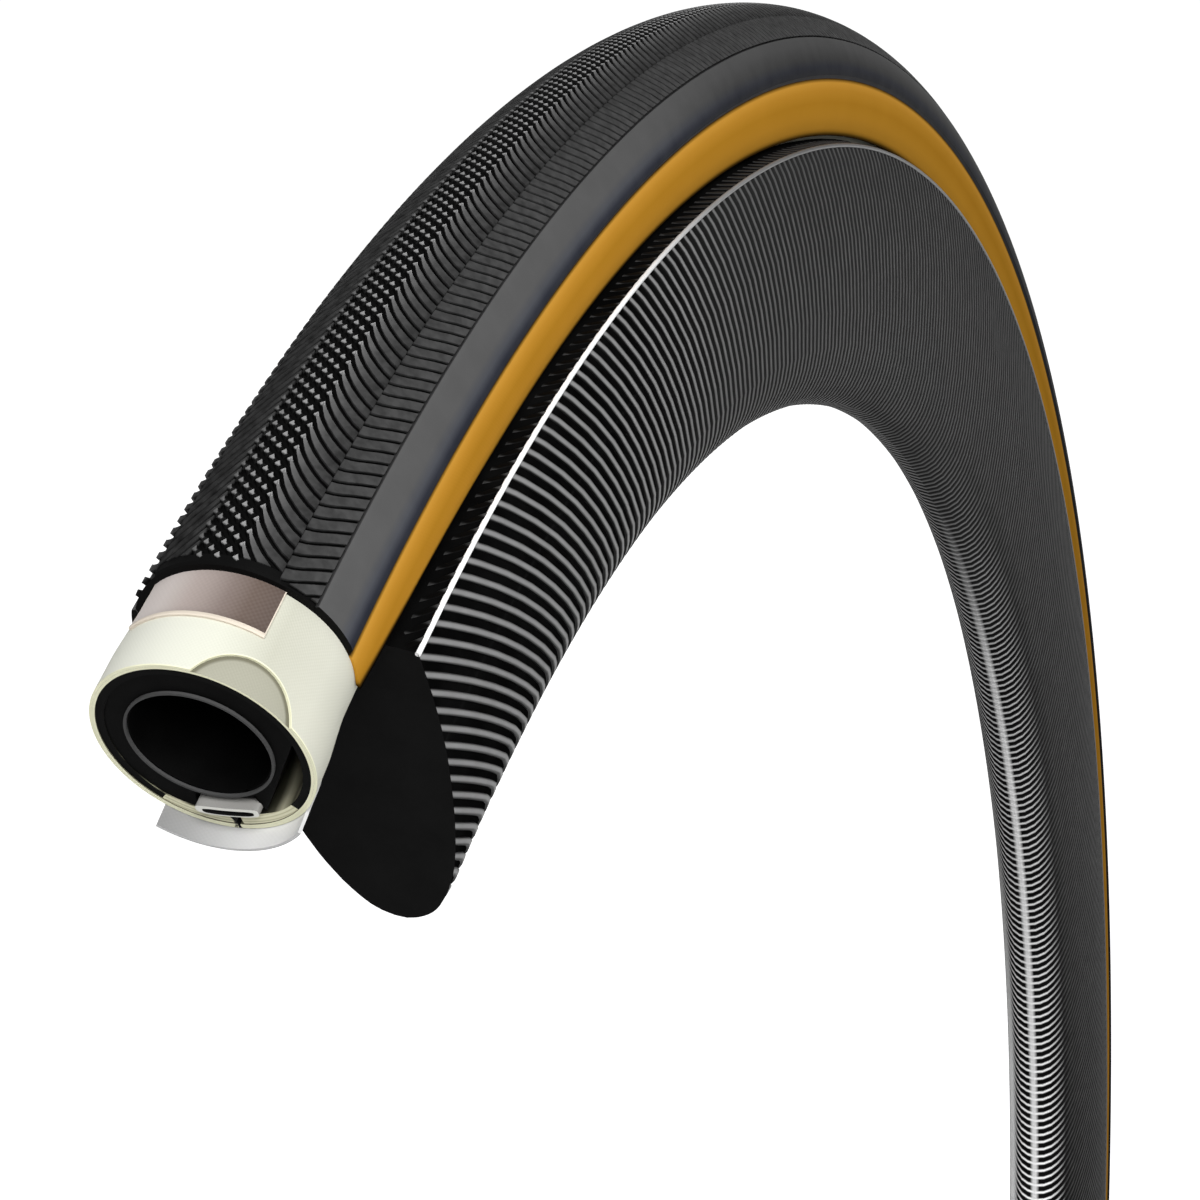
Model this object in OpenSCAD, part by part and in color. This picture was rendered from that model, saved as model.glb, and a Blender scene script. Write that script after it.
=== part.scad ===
// Tubular road tyre, 700C, on a deep aero rim: a nearly whole ring with a display cutaway.
//
// Frame: the axle is the Y axis and the wheel stands in the XZ plane, +Z up, in millimetres.
// Angles run in the XZ plane from +X towards +Z. The left side of the wheel is -Y.
// A cross-section is drawn in 2D with X as the distance from the axle and Y towards the left side.
// Round the section, angles start at the crown and grow towards the left side.

/* [Ring] */
// Distance from the axle to the middle of the tread's arc
tread_centre_r = 325; // [318:0.5:330]
// Radius of the tread's outer arc, across the section
tread_arc_r = 12.05; // [12:0.05:13]
// How far the casing's middle lies inside the tread arc's middle
casing_offset = 0.75; // [0.6:0.05:0.9]
// Outer radius of the casing, across the section
casing_arc_r = 11.3; // [11.2:0.05:11.4]

/* [Cutaway] */
// Angle of the plain cut at the far side of the cutaway
plain_cut = -208; // [-212:1:-204]
// Angle where the rim ends
rim_end = 124.1; // [122:0.1:124.5]
// Angle where the tread and the coloured sidewalls end
tread_end = 126.2; // [125:0.1:126.5]
// Angle where the puncture belt ends
belt_end = 127.35; // [127:0.05:127.6]
// Angle where the casing, its lining and the inner tube end
casing_end = 128.19; // [128:0.01:128.4]
// Angle where the base tape ends
base_tape_end = 128.75; // [128.5:0.05:129]
// Radius of the round window cut in the outer ply
window_r = 5.8; // [5:0.1:6]

/* [Tread] */
// Half angle of the knobbed centre strip, with its slanted grooves
centre_half = 35; // [30:1:37]
// Angle where the grooved strip ends and the smooth shoulder starts
groove_edge = 55.5; // [50:0.5:60]
// Angle where the shoulder ends and the coloured sidewall starts
shoulder_edge = 87; // [80:0.5:90]
// Angle where the coloured sidewall ends above the rim
sidewall_edge = 126; // [120:0.5:128]
// Half angle of the puncture belt
belt_half = 38.5; // [36:0.5:45]

/* [Layers] */
// Thickness of each casing ply
ply_t = 0.3; // [0.2:0.05:0.3]
// Thickness of the puncture belt
belt_t = 0.3; // [0.25:0.05:0.35]
// Thickness of the black lining inside the casing
lining_t = 0.85; // [0.6:0.05:0.9]
// Thickness of the coloured sidewall coat
coat_t = 0.3; // [0.25:0.05:0.35]
// Thickness of the folded hem on each side of the seam
hem_t = 1.3; // [1:0.05:1.4]
// Half angle at the bottom of the section that the hems cover
hem_half = 43; // [38:1:46]
// Thickness of the base tape under the seam
base_tape_t = 0.35; // [0.25:0.05:0.4]
// Half angle of the base tape
base_tape_half = 31; // [26:1:34]
// Half width of the slit that the seam closes
seam_half = 0.15; // [0.1:0.05:0.25]
// Thickness of the folded seam cover tape
cover_tape_t = 1.25; // [1:0.05:1.3]
// Half angle of the seam cover tape
cover_tape_half = 24; // [20:1:28]

/* [Inner tube] */
// Outer radius of the inner tube's section
tube_r = 9.2; // [8.9:0.05:9.3]
// Inner radius of the inner tube's section
tube_bore_r = 7.3; // [6.8:0.1:7.6]

/* [Rim] */
// Half width of the rim at its widest
rim_half_w = 12.45; // [12.2:0.05:13]
// Distance from the axle to the rim's widest place
rim_widest_r = 313; // [311:0.5:314]
// Distance from the axle to the tip of the rim's nose
rim_nose_r = 272; // [262:1:282]
// Radius of the nose, across the section
nose_arc_r = 6.8; // [6:0.1:8]
// Thickness of the rim's outer shell
shell_t = 1.4; // [1:0.1:2]
// Thickness of the cement that holds the tyre in the rim
cement_t = 0.2; // [0.15:0.05:0.3]

/* [Valve] */
// Outer radius of the valve stem where the pump head grips it
stem_grip_r = 3; // [3:0.05:3.1]
// Length of the part that the pump head grips
stem_grip_l = 10; // [8:0.5:12]
// Outer radius of the stem's thin end under the cap
stem_tip_r = 2.6; // [2.5:0.05:2.7]
// Length of the stem's thin end
stem_tip_l = 12; // [11:0.5:13]
// Outer radius of the rim nut
rim_nut_r = 5.2; // [4.8:0.1:6]
// Outer radius of the cap
cap_r = 3.7; // [3.5:0.1:4]
// Travel of the valve pin
pin_travel = 2.5; // [2:0.1:2.8]

/* [Hidden] */

section_fn = 96;
ring_fn = 240;
small_fn = 48;

casing_centre_r = tread_centre_r - casing_offset;
belt_outer_r = casing_arc_r + belt_t;
coat_outer_r = casing_arc_r + coat_t;
inner_ply_outer_r = casing_arc_r - ply_t;
casing_bore_r = inner_ply_outer_r - ply_t;
lining_bore_r = casing_bore_r - lining_t;
hem_bore_r = casing_bore_r - hem_t;
cover_tape_outer_r = hem_bore_r - 0.05;
cover_tape_bore_r = cover_tape_outer_r - cover_tape_t;
base_tape_outer_r = casing_arc_r + base_tape_t;
bed_r = base_tape_outer_r + cement_t;

// The inner tube lies a little above the casing's middle and towards the right side.
tube_up = 0.4;
tube_left = -0.2;

// The bed's arc meets the rim's ledges here.
bed_half = hem_half + 1;
ledge_r = casing_centre_r - bed_r * cos(bed_half);
ledge_w = bed_r * sin(bed_half) + 0.2;
corner_r = rim_widest_r + 2;
corner_half_w = rim_half_w - 0.1;
nose_centre_r = rim_nose_r + nose_arc_r;

// One arc makes each flank: upright at the widest place, and tangent to the nose.
flank_h = rim_widest_r - nose_centre_r;
flank_arc_r = (flank_h ^ 2 + rim_half_w ^ 2 - nose_arc_r ^ 2) / (2 * (rim_half_w - nose_arc_r));
flank_centre_w = rim_half_w - flank_arc_r;
flank_steps = 8;

// The round window in the outer ply: its middle lies beyond the casing's end.
window_at = 42;
window_beyond = 2.4;

// Distances from the axle along the valve, from the hub side out to the tube.
valve_clear_r = 3.1;
stem_bore_r = 1.95;
rim_nut_h = 3;
rim_nut_gap = 0.1;
nut_travel = 6;
stem_groove_l = 1;
stem_groove_r = 2.4;
groove_at = rim_nose_r - rim_nut_gap - rim_nut_h - nut_travel - 0.4;
grip_outer_at = groove_at - stem_groove_l;
grip_inner_at = grip_outer_at - stem_grip_l;
stem_end_at = grip_inner_at - stem_tip_l;
core_out = 3.7;
core_l = 15.7;
core_end_at = stem_end_at - core_out;
core_seat_at = core_end_at + core_l;
pin_r = 0.75;
pin_clear = 0.05;
lock_nut_h = 2;
lock_nut_r = 2.1;
lock_nut_at = core_end_at - pin_travel - 0.5 - lock_nut_h;
pin_end_at = lock_nut_at - 0.8;
seal_h = 1.5;
seal_r = 1.6;
pin_foot_at = core_seat_at + 0.05 + seal_h + 0.5;
patch_r = 6;
patch_t = 0.95;
flange_at = casing_centre_r + tube_up - tube_bore_r + patch_t + 1.2;
flange_h = 1;
flange_r = 3.6;
cap_wall_at = pin_end_at - 1.5;
cap_top_t = 1.5;
cap_mouth_at = grip_inner_at - 0.5;
cap_bore_r = stem_tip_r + 0.08;

// ---- Sections and sweeps ----

// Turns a cross-section round the axle, from one angle to another.
module ring(from, to) {
    rotate([90, 0, 0])
        rotate([0, 0, from])
            rotate_extrude(angle = to - from, $fn = ring_fn)
                children();
}

// The space between two circles round a middle at distance c from the axle.
module layer(c, outer, inner) {
    translate([c, 0])
        difference() {
            circle(r = outer, $fn = section_fn);
            circle(r = inner, $fn = section_fn);
        }
}

// A wedge of the section between two angles, seen from distance c. It spans less than 180 degrees.
module wedge(c, from, to) {
    reach = 40;
    middle = (from + to) / 2;
    translate([c, 0])
        polygon([[0, 0], for (a = [from, middle, to]) reach * [cos(a), sin(a)]]);
}

// The same wedge on the underside, given by its half angle.
module bottom_wedge(c, half) wedge(c, 180 - half, 180 + half);

// The stem's hole through a ring, at the bottom of the wheel.
module stem_hole() {
    reach = 10;
    translate([0, 0, -tread_centre_r])
        cylinder(h = tread_centre_r - rim_nose_r + reach, r = valve_clear_r, $fn = small_fn);
}

// A ring pierced for the valve stem.
module pierced_ring(from, to) {
    difference() {
        ring(from, to) children();
        stem_hole();
    }
}

// A shaft on the valve's line between two distances from the axle.
module shaft(hub_side, tube_side, r) {
    translate([0, 0, -tube_side])
        cylinder(h = tube_side - hub_side, r = r, $fn = small_fn);
}

// Grooves for the fingers, cut round a nut or a cap.
module finger_grooves(hub_side, tube_side, r, count, groove_r) {
    for (i = [0 : count - 1])
        rotate([0, 0, i * 360 / count])
            translate([r, 0, 0])
                shaft(hub_side - 1, tube_side + 1, groove_r);
}

// ---- Tread and sidewalls ----

module belt_section() {
    intersection() {
        layer(casing_centre_r, belt_outer_r, casing_arc_r);
        wedge(tread_centre_r, -belt_half, belt_half);
    }
}

// The rubber between the casing or belt and the tread's outer arc.
module tread_section(from, to) {
    intersection() {
        difference() {
            translate([tread_centre_r, 0])
                circle(r = tread_arc_r, $fn = section_fn);
            translate([casing_centre_r, 0])
                circle(r = casing_arc_r, $fn = section_fn);
            belt_section();
        }
        wedge(tread_centre_r, from, to);
    }
}

module tread_centre() {
    color("#1b1b1d") ring(plain_cut, tread_end) tread_section(-centre_half, centre_half);
}

module tread_grooved_left() {
    color("#4a4a4c") ring(plain_cut, tread_end) tread_section(centre_half, groove_edge);
}

module tread_grooved_right() {
    color("#4a4a4c") ring(plain_cut, tread_end) tread_section(-groove_edge, -centre_half);
}

module tread_shoulder_left() {
    color("#66676a") ring(plain_cut, tread_end) tread_section(groove_edge, shoulder_edge);
}

module tread_shoulder_right() {
    color("#66676a") ring(plain_cut, tread_end) tread_section(-shoulder_edge, -groove_edge);
}

module sidewall_section() {
    intersection() {
        layer(casing_centre_r, coat_outer_r, casing_arc_r);
        wedge(tread_centre_r, shoulder_edge, sidewall_edge);
    }
}

module sidewall_left() {
    color("#c8872a") ring(plain_cut, tread_end) sidewall_section();
}

module sidewall_right() {
    color("#c8872a") ring(plain_cut, tread_end) mirror([0, 1]) sidewall_section();
}

module puncture_belt() {
    color("#a0908d") ring(plain_cut, belt_end) belt_section();
}

// ---- Casing ----

// A ply of the casing, open along the seam at the bottom of the section.
module ply_section(outer) {
    difference() {
        layer(casing_centre_r, outer, outer - ply_t);
        translate([casing_centre_r - 2 * casing_arc_r, -seam_half])
            square([2 * casing_arc_r, 2 * seam_half]);
    }
}

// The window's middle, on the casing's surface just beyond its end.
module window_cutter() {
    rotate([0, -casing_end - window_beyond / casing_centre_r * 180 / PI, 0])
        translate([casing_centre_r, 0, 0])
            rotate([0, 0, -window_at])
                rotate([0, 90, 0])
                    cylinder(h = 2 * casing_arc_r, r = window_r, $fn = small_fn);
}

module casing_outer_ply() {
    color("#e4e4d8")
        difference() {
            pierced_ring(plain_cut, casing_end) ply_section(casing_arc_r);
            window_cutter();
        }
}

module casing_inner_ply() {
    color("#d2d2c6") pierced_ring(plain_cut, casing_end) ply_section(inner_ply_outer_r);
}

module casing_lining() {
    color("#141412")
        ring(plain_cut, casing_end)
            difference() {
                layer(casing_centre_r, casing_bore_r, lining_bore_r);
                bottom_wedge(casing_centre_r, hem_half);
            }
}

// The casing's edge, folded in beside the seam.
module hem_section() {
    difference() {
        intersection() {
            layer(casing_centre_r, casing_bore_r, hem_bore_r);
            wedge(casing_centre_r, 180 - hem_half, 180);
        }
        translate([casing_centre_r - 2 * casing_arc_r, -seam_half])
            square([2 * casing_arc_r, 2 * seam_half]);
    }
}

module hem_left() {
    color("#e2dfc4") pierced_ring(plain_cut, casing_end) hem_section();
}

module hem_right() {
    color("#d8d5ba") pierced_ring(plain_cut, casing_end) mirror([0, 1]) hem_section();
}

// The zigzag lacing that draws the two hems together fills the slit between them.
module seam_thread() {
    outer_at = casing_centre_r - casing_arc_r + 0.02;
    inner_at = casing_centre_r - hem_bore_r - 0.02;
    slack = 0.02;
    color("#2a2a22")
        pierced_ring(plain_cut, casing_end)
            translate([outer_at, slack - seam_half])
                square([inner_at - outer_at, 2 * (seam_half - slack)]);
}

// Folded flat, with the fold's slit left inside.
module seam_cover_tape() {
    wall = cover_tape_t * 0.4;
    color("#ecebe6")
        pierced_ring(plain_cut, casing_end)
            difference() {
                intersection() {
                    layer(casing_centre_r, cover_tape_outer_r, cover_tape_bore_r);
                    bottom_wedge(casing_centre_r, cover_tape_half);
                }
                intersection() {
                    layer(casing_centre_r, cover_tape_outer_r - wall, cover_tape_bore_r + wall);
                    bottom_wedge(casing_centre_r, cover_tape_half * 0.7);
                }
            }
}

module base_tape_section() {
    intersection() {
        layer(casing_centre_r, base_tape_outer_r, casing_arc_r);
        bottom_wedge(casing_centre_r, base_tape_half);
    }
}

module base_tape() {
    color("#d5d5d1") pierced_ring(plain_cut, base_tape_end) base_tape_section();
}

// ---- Inner tube ----

// A round tube, flattened where it rests on the seam cover tape.
module inner_tube() {
    tube_c = casing_centre_r + tube_up;
    color("#0d0d0d")
        pierced_ring(plain_cut, casing_end)
            difference() {
                translate([tube_c, tube_left])
                    circle(r = tube_r, $fn = section_fn);
                translate([tube_c, tube_left])
                    circle(r = tube_bore_r, $fn = section_fn);
                difference() {
                    bottom_wedge(casing_centre_r, cover_tape_half + 2);
                    translate([casing_centre_r, 0])
                        circle(r = cover_tape_bore_r - 0.05, $fn = section_fn);
                }
            }
}

// ---- Rim ----

// Half width of the flank at distance r from the axle.
function flank_w(r) = flank_centre_w + sqrt(flank_arc_r ^ 2 - (rim_widest_r - r) ^ 2);

// One side of the rim's outline, from the bed's edge down the flank and into the nose.
function side_points(side, inset) = [
    [ledge_r - inset, side * ledge_w],
    [corner_r - inset, side * (corner_half_w - inset)],
    for (i = [0 : flank_steps])
        let (r = rim_widest_r - flank_h * i / flank_steps)
            [r, side * (flank_w(r) - inset)],
    [nose_centre_r - nose_arc_r * 0.4, side * (nose_arc_r * 0.85 - inset)]
];

function reversed(list) = [for (i = [len(list) - 1 : -1 : 0]) list[i]];

// The rim's outline, shrunk by inset.
module rim_outline(inset) {
    translate([nose_centre_r, 0])
        circle(r = nose_arc_r - inset, $fn = section_fn);
    polygon(concat(side_points(1, inset), reversed(side_points(-1, inset))));
}

module core_section() {
    difference() {
        rim_outline(shell_t);
        translate([casing_centre_r, 0])
            circle(r = bed_r + shell_t, $fn = section_fn);
    }
}

module rim_shell() {
    color("#4b4b4d")
        pierced_ring(plain_cut, rim_end)
            difference() {
                rim_outline(0);
                translate([casing_centre_r, 0])
                    circle(r = bed_r, $fn = section_fn);
                core_section();
            }
}

module rim_core() {
    color("#161616") pierced_ring(plain_cut, rim_end) core_section();
}

module rim_cement() {
    color("#8c7a5a")
        pierced_ring(plain_cut, rim_end)
            difference() {
                intersection() {
                    layer(casing_centre_r, bed_r, casing_arc_r);
                    bottom_wedge(casing_centre_r, hem_half);
                }
                base_tape_section();
            }
}

// ---- Valve ----

// The rubber patch that bonds the stem to the tube's inner wall.
module valve_patch() {
    tube_c = casing_centre_r + tube_up;
    margin = 4;
    color("#262626")
        difference() {
            intersection() {
                ring(-90 - margin, -90 + margin)
                    translate([0, tube_left])
                        layer(tube_c, tube_bore_r - 0.02, tube_bore_r - patch_t);
                shaft(tube_c - 2 * tube_bore_r, tube_c, patch_r);
            }
            shaft(rim_nose_r, tread_centre_r + tread_arc_r, valve_clear_r);
        }
}

// A groove parts the stretch that the pump head grips from the one that the rim nut runs on.
module valve_stem() {
    color("#c9c9c4")
        difference() {
            union() {
                shaft(stem_end_at, grip_inner_at, stem_tip_r);
                shaft(grip_inner_at, grip_outer_at, stem_grip_r);
                shaft(grip_outer_at, groove_at, stem_groove_r);
                shaft(groove_at, flange_at, stem_grip_r);
                shaft(flange_at, flange_at + flange_h, flange_r);
            }
            shaft(stem_end_at - 1, flange_at + flange_h + 1, stem_bore_r);
        }
}

// The core screws into the stem's end; its outer part has two flats for a key.
module valve_core() {
    flat_half = 1.7;
    color("#c8a552")
        difference() {
            union() {
                shaft(stem_end_at, core_seat_at, stem_bore_r - 0.05);
                intersection() {
                    shaft(core_end_at, stem_end_at, stem_bore_r);
                    translate([-flat_half, -stem_bore_r, -stem_end_at])
                        cube([2 * flat_half, 2 * stem_bore_r, core_out]);
                }
            }
            shaft(core_end_at - 1, core_seat_at + 1, pin_r + pin_clear);
        }
}

module valve_pin() {
    color("#d6b35c") shaft(pin_end_at, pin_foot_at, pin_r);
}

// The washer on the pin's foot, which closes on the end of the core.
module valve_seal() {
    color("#3a3a3a")
        difference() {
            shaft(core_seat_at + 0.05, core_seat_at + 0.05 + seal_h, seal_r);
            shaft(core_seat_at - 1, pin_foot_at + 1, pin_r);
        }
}

// Shown unscrewed, so that the pin is free to be pressed.
module valve_lock_nut() {
    grooves = 12;
    groove_r = 0.25;
    color("#d6b35c")
        difference() {
            shaft(lock_nut_at, lock_nut_at + lock_nut_h, lock_nut_r);
            shaft(lock_nut_at - 1, lock_nut_at + lock_nut_h + 1, pin_r + pin_clear);
            finger_grooves(lock_nut_at, lock_nut_at + lock_nut_h, lock_nut_r, grooves, groove_r);
        }
}

// The nut that holds the stem to the rim's nose.
module rim_nut() {
    outer_at = rim_nose_r - rim_nut_gap;
    inner_at = outer_at - rim_nut_h;
    grooves = 18;
    groove_r = 0.4;
    color("#c9c9c4")
        difference() {
            shaft(inner_at, outer_at, rim_nut_r);
            shaft(inner_at - 1, outer_at + 1, stem_grip_r + 0.05);
            finger_grooves(inner_at, outer_at, rim_nut_r, grooves, groove_r);
        }
}

module valve_cap() {
    grooves = 12;
    groove_r = 0.4;
    color("#2c2c2e")
        difference() {
            shaft(cap_wall_at - cap_top_t, cap_mouth_at, cap_r);
            shaft(cap_wall_at, cap_mouth_at + 1, cap_bore_r);
            finger_grooves(cap_wall_at, cap_mouth_at, cap_r, grooves, groove_r);
        }
}

tread_centre();
tread_grooved_left();
tread_grooved_right();
tread_shoulder_left();
tread_shoulder_right();
sidewall_left();
sidewall_right();
puncture_belt();
casing_outer_ply();
casing_inner_ply();
casing_lining();
hem_left();
hem_right();
seam_thread();
seam_cover_tape();
base_tape();
inner_tube();
rim_cement();
rim_shell();
rim_core();
valve_patch();
valve_stem();
valve_core();
valve_pin();
valve_seal();
valve_lock_nut();
rim_nut();
valve_cap();
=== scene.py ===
"""Looks for the cutaway tubular bicycle tire on its rim: ring-shaped pieces and materials on the frame."""

import math
from functools import cached_property

import bpy
import numpy as np
from mathutils import Matrix, Vector


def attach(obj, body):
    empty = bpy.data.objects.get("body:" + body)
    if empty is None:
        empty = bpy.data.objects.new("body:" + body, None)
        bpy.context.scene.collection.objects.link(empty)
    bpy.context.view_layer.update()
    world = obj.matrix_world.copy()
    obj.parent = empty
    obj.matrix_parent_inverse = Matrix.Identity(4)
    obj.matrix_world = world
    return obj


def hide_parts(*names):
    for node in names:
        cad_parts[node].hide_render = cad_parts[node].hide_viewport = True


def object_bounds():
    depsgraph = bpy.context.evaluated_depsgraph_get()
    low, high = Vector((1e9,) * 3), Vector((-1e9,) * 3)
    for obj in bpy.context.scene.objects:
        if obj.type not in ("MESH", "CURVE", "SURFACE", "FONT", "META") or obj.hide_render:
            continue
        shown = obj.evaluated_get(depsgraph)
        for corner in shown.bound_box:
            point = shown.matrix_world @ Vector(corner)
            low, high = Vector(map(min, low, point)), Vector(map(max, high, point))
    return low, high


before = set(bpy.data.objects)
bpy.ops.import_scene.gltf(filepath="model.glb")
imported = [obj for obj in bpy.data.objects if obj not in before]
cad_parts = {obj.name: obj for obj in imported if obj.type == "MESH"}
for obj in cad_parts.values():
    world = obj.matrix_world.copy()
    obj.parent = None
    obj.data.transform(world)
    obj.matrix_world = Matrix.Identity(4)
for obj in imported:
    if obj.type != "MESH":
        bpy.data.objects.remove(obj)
cad_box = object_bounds()

# ---- Values: lengths in millimetres, angles in degrees ----

MM = 0.001
DEG = 180 / math.pi

# Ring angles where the layers end. All start at the plain cut.
PLAIN_CUT = -208.0
RIM_END = 124.1
TREAD_END = 126.0
BELT_END = 127.08
CASING_END = 128.19
BASE_TAPE_END = 128.64

# The casing's section, and how it opens out at its cut end.
CASING_C = 324.25
CASING_R, PLY_T, BELT_T, LINING_T = 11.3, 0.3, 0.3, 0.88
PLIES = 2 * PLY_T
COARSE_TO, FINE_FROM, FINE_TO = 125.5, 126.3, 127.9
FLARE_FROM, FLARE_TO = 126.3, 127.7
FLARE_DROP, FLARE_UP, FLARE_SIDE = 0.3, 0.85, 0.3
CLOTH_PITCH = 0.45
LAYER_TURN, LINING_TURN = 179.2, 137

# The round window in the outer ply: its place, its radius, how far its middle lies past the casing's end, and
# the radii that turn its size into ring angle and section angle.
WINDOW_AT, WINDOW_R, WINDOW_BEYOND = 41.7, 6.15, 2.35
WINDOW_RING_R, WINDOW_SECTION_R = 336, 11.8

# The tread: the circle of its section, the section angles where its zones end, and its pattern.
TREAD_C, TREAD_R = 325.0, 12.05
GROOVE_EDGE, GROOVE_EDGE_RIGHT, SHOULDER_EDGE = 55.5, 66.0, 87.0
GROOVE_DEPTH = 0.42
TREAD_PITCH = 0.3125
PLAIN_BAND = 0.2
KNOB_FIRST = 125.67
KNOB_ROWS = (-11.75, -7.05, -2.35, 2.35, 7.05, 11.75)
KNOB_TIP, KNOB_FOOT = (0.062, 1.55), (0.14, 3.4)
BELT_HALF = 38.3

# The inner tube, and a grey ring round its bore that carries a painted highlight.
TUBE_C, TUBE_LEFT, TUBE_BORE = 324.5, -0.22, 7.3
BORE_HIGHLIGHT_OUTER, BORE_HIGHLIGHT_INNER = 7.74, 7.46

# The rim, its leaning ribs, and a thin bead on its corners that carries a painted highlight.
BED_R = 11.85
RIM_PITCH = 360 / 768
RIM_RIB_FIRST = RIM_END + 9.0
RIM_RIB_LEAN = 0.179
RIM_RIB_H = 0.28
RIM_RIB_ROOT = 0.12
BEAD_C, BEAD_R = (314.75, 12.3), 0.34

# Half of the rim's outline, from the corner to the nose: distances from the axle and from the middle plane.
RIM_HALF = ((315, 12.35), (314.4, 12.42), (313, 12.45), (309, 12.45), (305, 12.35), (300, 11.95),
            (295, 11.25), (290, 10.4), (285, 9.3), (281, 8.15), (277.5, 6.65), (275.5, 5.5), (274, 4.45),
            (273, 3.45), (272.25, 2.2), (271.85, 1.1), (271.7, 0))

SIDES = (1, "left"), (-1, "right")

# Which material a plate's faces take: outer side, inner side, first end, last end, side edges.
END_SLOTS = (0, 0, 1, 1, 0)
RIM_SLOTS = (0, 0, 1, 1, 1)

GRAIN = 0.12
SIGNS = {"+": "ADD", "-": "SUBTRACT", "*": "MULTIPLY", "/": "DIVIDE"}


# ---- Points and meshes ----


def at(phi, r, h):
    """Points in metres, from the ring angle, the distance from the axle and the distance to the left."""
    phi, r, h = np.broadcast_arrays(np.asarray(phi, float), r, h)
    a = np.radians(phi)
    return np.stack([r * np.cos(a), -h, r * np.sin(a)], -1) * MM


def arc(centre, radius, turn, left=0.0):
    """Section points on an arc, as distances from the axle and to the left; 0 degrees is the crown."""
    a = np.radians(np.asarray(turn, float))
    radius = np.asarray(radius, float)
    return np.stack([centre + radius * np.cos(a), left + radius * np.sin(a)], -1)


def flare(phi):
    """How far the casing has opened out at a ring angle, from 0 to 1."""
    x = np.clip((np.asarray(phi, float) - FLARE_FROM) / (FLARE_TO - FLARE_FROM), 0, 1)
    return x * x * (3 - 2 * x)


def casing(phi, turn, inset=0.0):
    """Distances from the axle and to the left on the casing, at a depth below its surface."""
    phi, turn, inset = np.broadcast_arrays(np.asarray(phi, float), np.asarray(turn, float), inset)
    f = flare(phi)
    a = np.radians(turn)
    r = CASING_C - FLARE_DROP * f + (CASING_R + FLARE_UP * f - inset) * np.cos(a)
    return r, (CASING_R + FLARE_SIDE * f - inset) * np.sin(a)


def hem_depth(phi, turn):
    """How deep the folded hem's inner face lies below the casing's surface."""
    away = np.abs(turn)
    folded = np.interp(away, [136, 150, 166, 180], [1.5, 1.62, 1.8, 1.88])
    return folded + 0.42 * flare(phi) * np.interp(away, [145, 180], [0, 1])


def angles(a, b, step):
    """Even values from a to b, about a step apart."""
    return np.linspace(a, b, max(2, int(round(abs(b - a) / step)) + 1))


def stations(to, step, *last):
    """Ring angles at even steps from the plain cut, then the last ones."""
    return np.concatenate([angles(PLAIN_CUT, to, step), last])


def near_end(*last):
    """Ring angles for the casing: coarse round the wheel, fine where it opens out, then the last ones."""
    return stations(COARSE_TO, 2.0, *angles(FINE_FROM, FINE_TO, 0.2), *last)


def wall_faces(n, k, closed):
    """Quads of a bent plate of n stations by k points, outer points first, and the kind of each.

    The kinds are 0 outer side, 1 inner side, 2 first end, 3 last end and 4 side edges."""
    across = np.arange(k if closed else k - 1)
    i, j = (v.ravel() for v in np.meshgrid(np.arange(n - 1), across, indexing="ij"))
    j2 = (j + 1) % k
    inner = n * k
    faces = [np.stack([i * k + j, i * k + j2, (i + 1) * k + j2, (i + 1) * k + j], 1),
             np.stack([i * k + j, (i + 1) * k + j, (i + 1) * k + j2, i * k + j2], 1) + inner]
    kinds = [0, 1]

    def wall(a, b, kind):
        faces.append(np.stack([a, a + inner, b + inner, b], 1))
        kinds.append(kind)

    after, last = (across + 1) % k, (n - 1) * k
    wall(across, after, 2)
    wall(last + after, last + across, 3)
    if not closed:
        a = np.arange(n - 1) * k
        b = a + k
        wall(a, b, 4)
        wall(b + k - 1, a + k - 1, 4)
    kind = np.concatenate([np.full(len(f), c) for f, c in zip(faces, kinds)])
    return np.concatenate(faces), kind


def place_new(name, data):
    """A new object in the scene."""
    obj = bpy.data.objects.new(name, data)
    bpy.context.scene.collection.objects.link(obj)
    return obj


def make_mesh(name, points, faces, slots, sharp):
    """A mesh object whose normals point outwards. slots holds the material index of each face."""
    halves = points[faces[:, [0, 1, 2]]], points[faces[:, [0, 2, 3]]]
    volume = sum(np.einsum("ij,ij->i", t[:, 0], np.cross(t[:, 1], t[:, 2])).sum() for t in halves)
    if volume < 0:
        faces = faces[:, ::-1]
    mesh = bpy.data.meshes.new(name)
    mesh.vertices.add(len(points))
    mesh.vertices.foreach_set("co", points.astype(np.float32).ravel())
    mesh.loops.add(faces.size)
    mesh.loops.foreach_set("vertex_index", faces.astype(np.int32).ravel())
    mesh.polygons.add(len(faces))
    mesh.polygons.foreach_set("loop_start", np.arange(0, faces.size, 4, dtype=np.int32))
    mesh.polygons.foreach_set("loop_total", np.full(len(faces), 4, dtype=np.int32))
    mesh.polygons.foreach_set("material_index", slots.astype(np.int32))
    mesh.update(calc_edges=True)
    mesh.shade_smooth()
    mesh.set_sharp_from_angle(angle=math.radians(sharp))
    return place_new(name, mesh)


def settle(obj, materials, nodes=(), body="wheel"):
    """Gives a piece its materials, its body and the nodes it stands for."""
    for m in materials:
        obj.data.materials.append(m)
    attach(obj, body)
    if nodes:
        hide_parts(*nodes)


def plate(name, outer, inner, closed=False, kind_slots=None, sharp=35):
    """A closed piece from two grids of points, each n stations by k points, outer and inner."""
    n, k = outer.shape[:2]
    faces, kind = wall_faces(n, k, closed)
    slots = np.zeros(len(faces)) if kind_slots is None else np.asarray(kind_slots)[kind]
    points = np.concatenate([outer.reshape(-1, 3), inner.reshape(-1, 3)])
    return make_mesh(name, points, faces, slots, sharp)


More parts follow.
